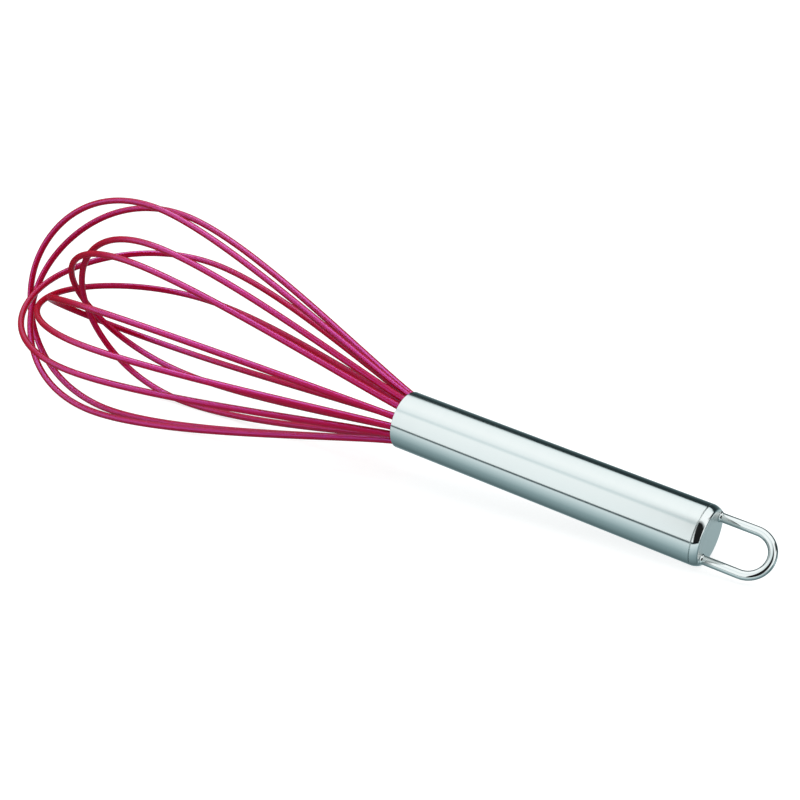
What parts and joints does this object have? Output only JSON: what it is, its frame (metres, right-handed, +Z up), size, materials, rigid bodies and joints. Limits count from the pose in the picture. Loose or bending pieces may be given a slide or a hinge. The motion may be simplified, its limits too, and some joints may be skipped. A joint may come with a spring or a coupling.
{
  "type": "balloon whisk",
  "caption": "Balloon whisk: silicone-sleeved spring wire loops set in a brushed steel tube handle with a polished cap and a wire hanging loop.",
  "frame": {"origin": "centre of the base of the whole whisk's box, on the surface that it lies on", "axes": "+Z up; the whisk lies along X, balloon towards -X, handle and hanging loop towards +X"},
  "size_m": [0.3102, 0.086, 0.0761],
  "materials": {
    "handle_steel": "satin, finely brushed round the tube",
    "cap_steel": "polished edge, satin end face",
    "polished_steel": "polished wire",
    "silicone_red": "satin crimson silicone",
    "spring_steel": "drawn spring wire",
    "nylon": "moulded, matt",
    "resin": "cast epoxy"
  },
  "bodies": {
    "root": {"handle_tube": "handle_steel", "end_cap": "cap_steel", "hanging_loop": "polished_steel", "loop_welds": "polished_steel", "wire_holder": "nylon", "resin_seal": "resin", "resin_dam": "nylon", "core_wire_1": "spring_steel", "silicone_sleeve_1": "silicone_red", "core_wire_2": "spring_steel", "silicone_sleeve_2": "silicone_red", "core_wire_3": "spring_steel", "silicone_sleeve_3": "silicone_red", "core_wire_4": "spring_steel", "silicone_sleeve_4": "silicone_red", "core_wire_5": "spring_steel", "silicone_sleeve_5": "silicone_red", "core_wire_6": "spring_steel", "silicone_sleeve_6": "silicone_red", "core_wire_7": "spring_steel", "silicone_sleeve_7": "silicone_red"}
  },
  "joints": []
}
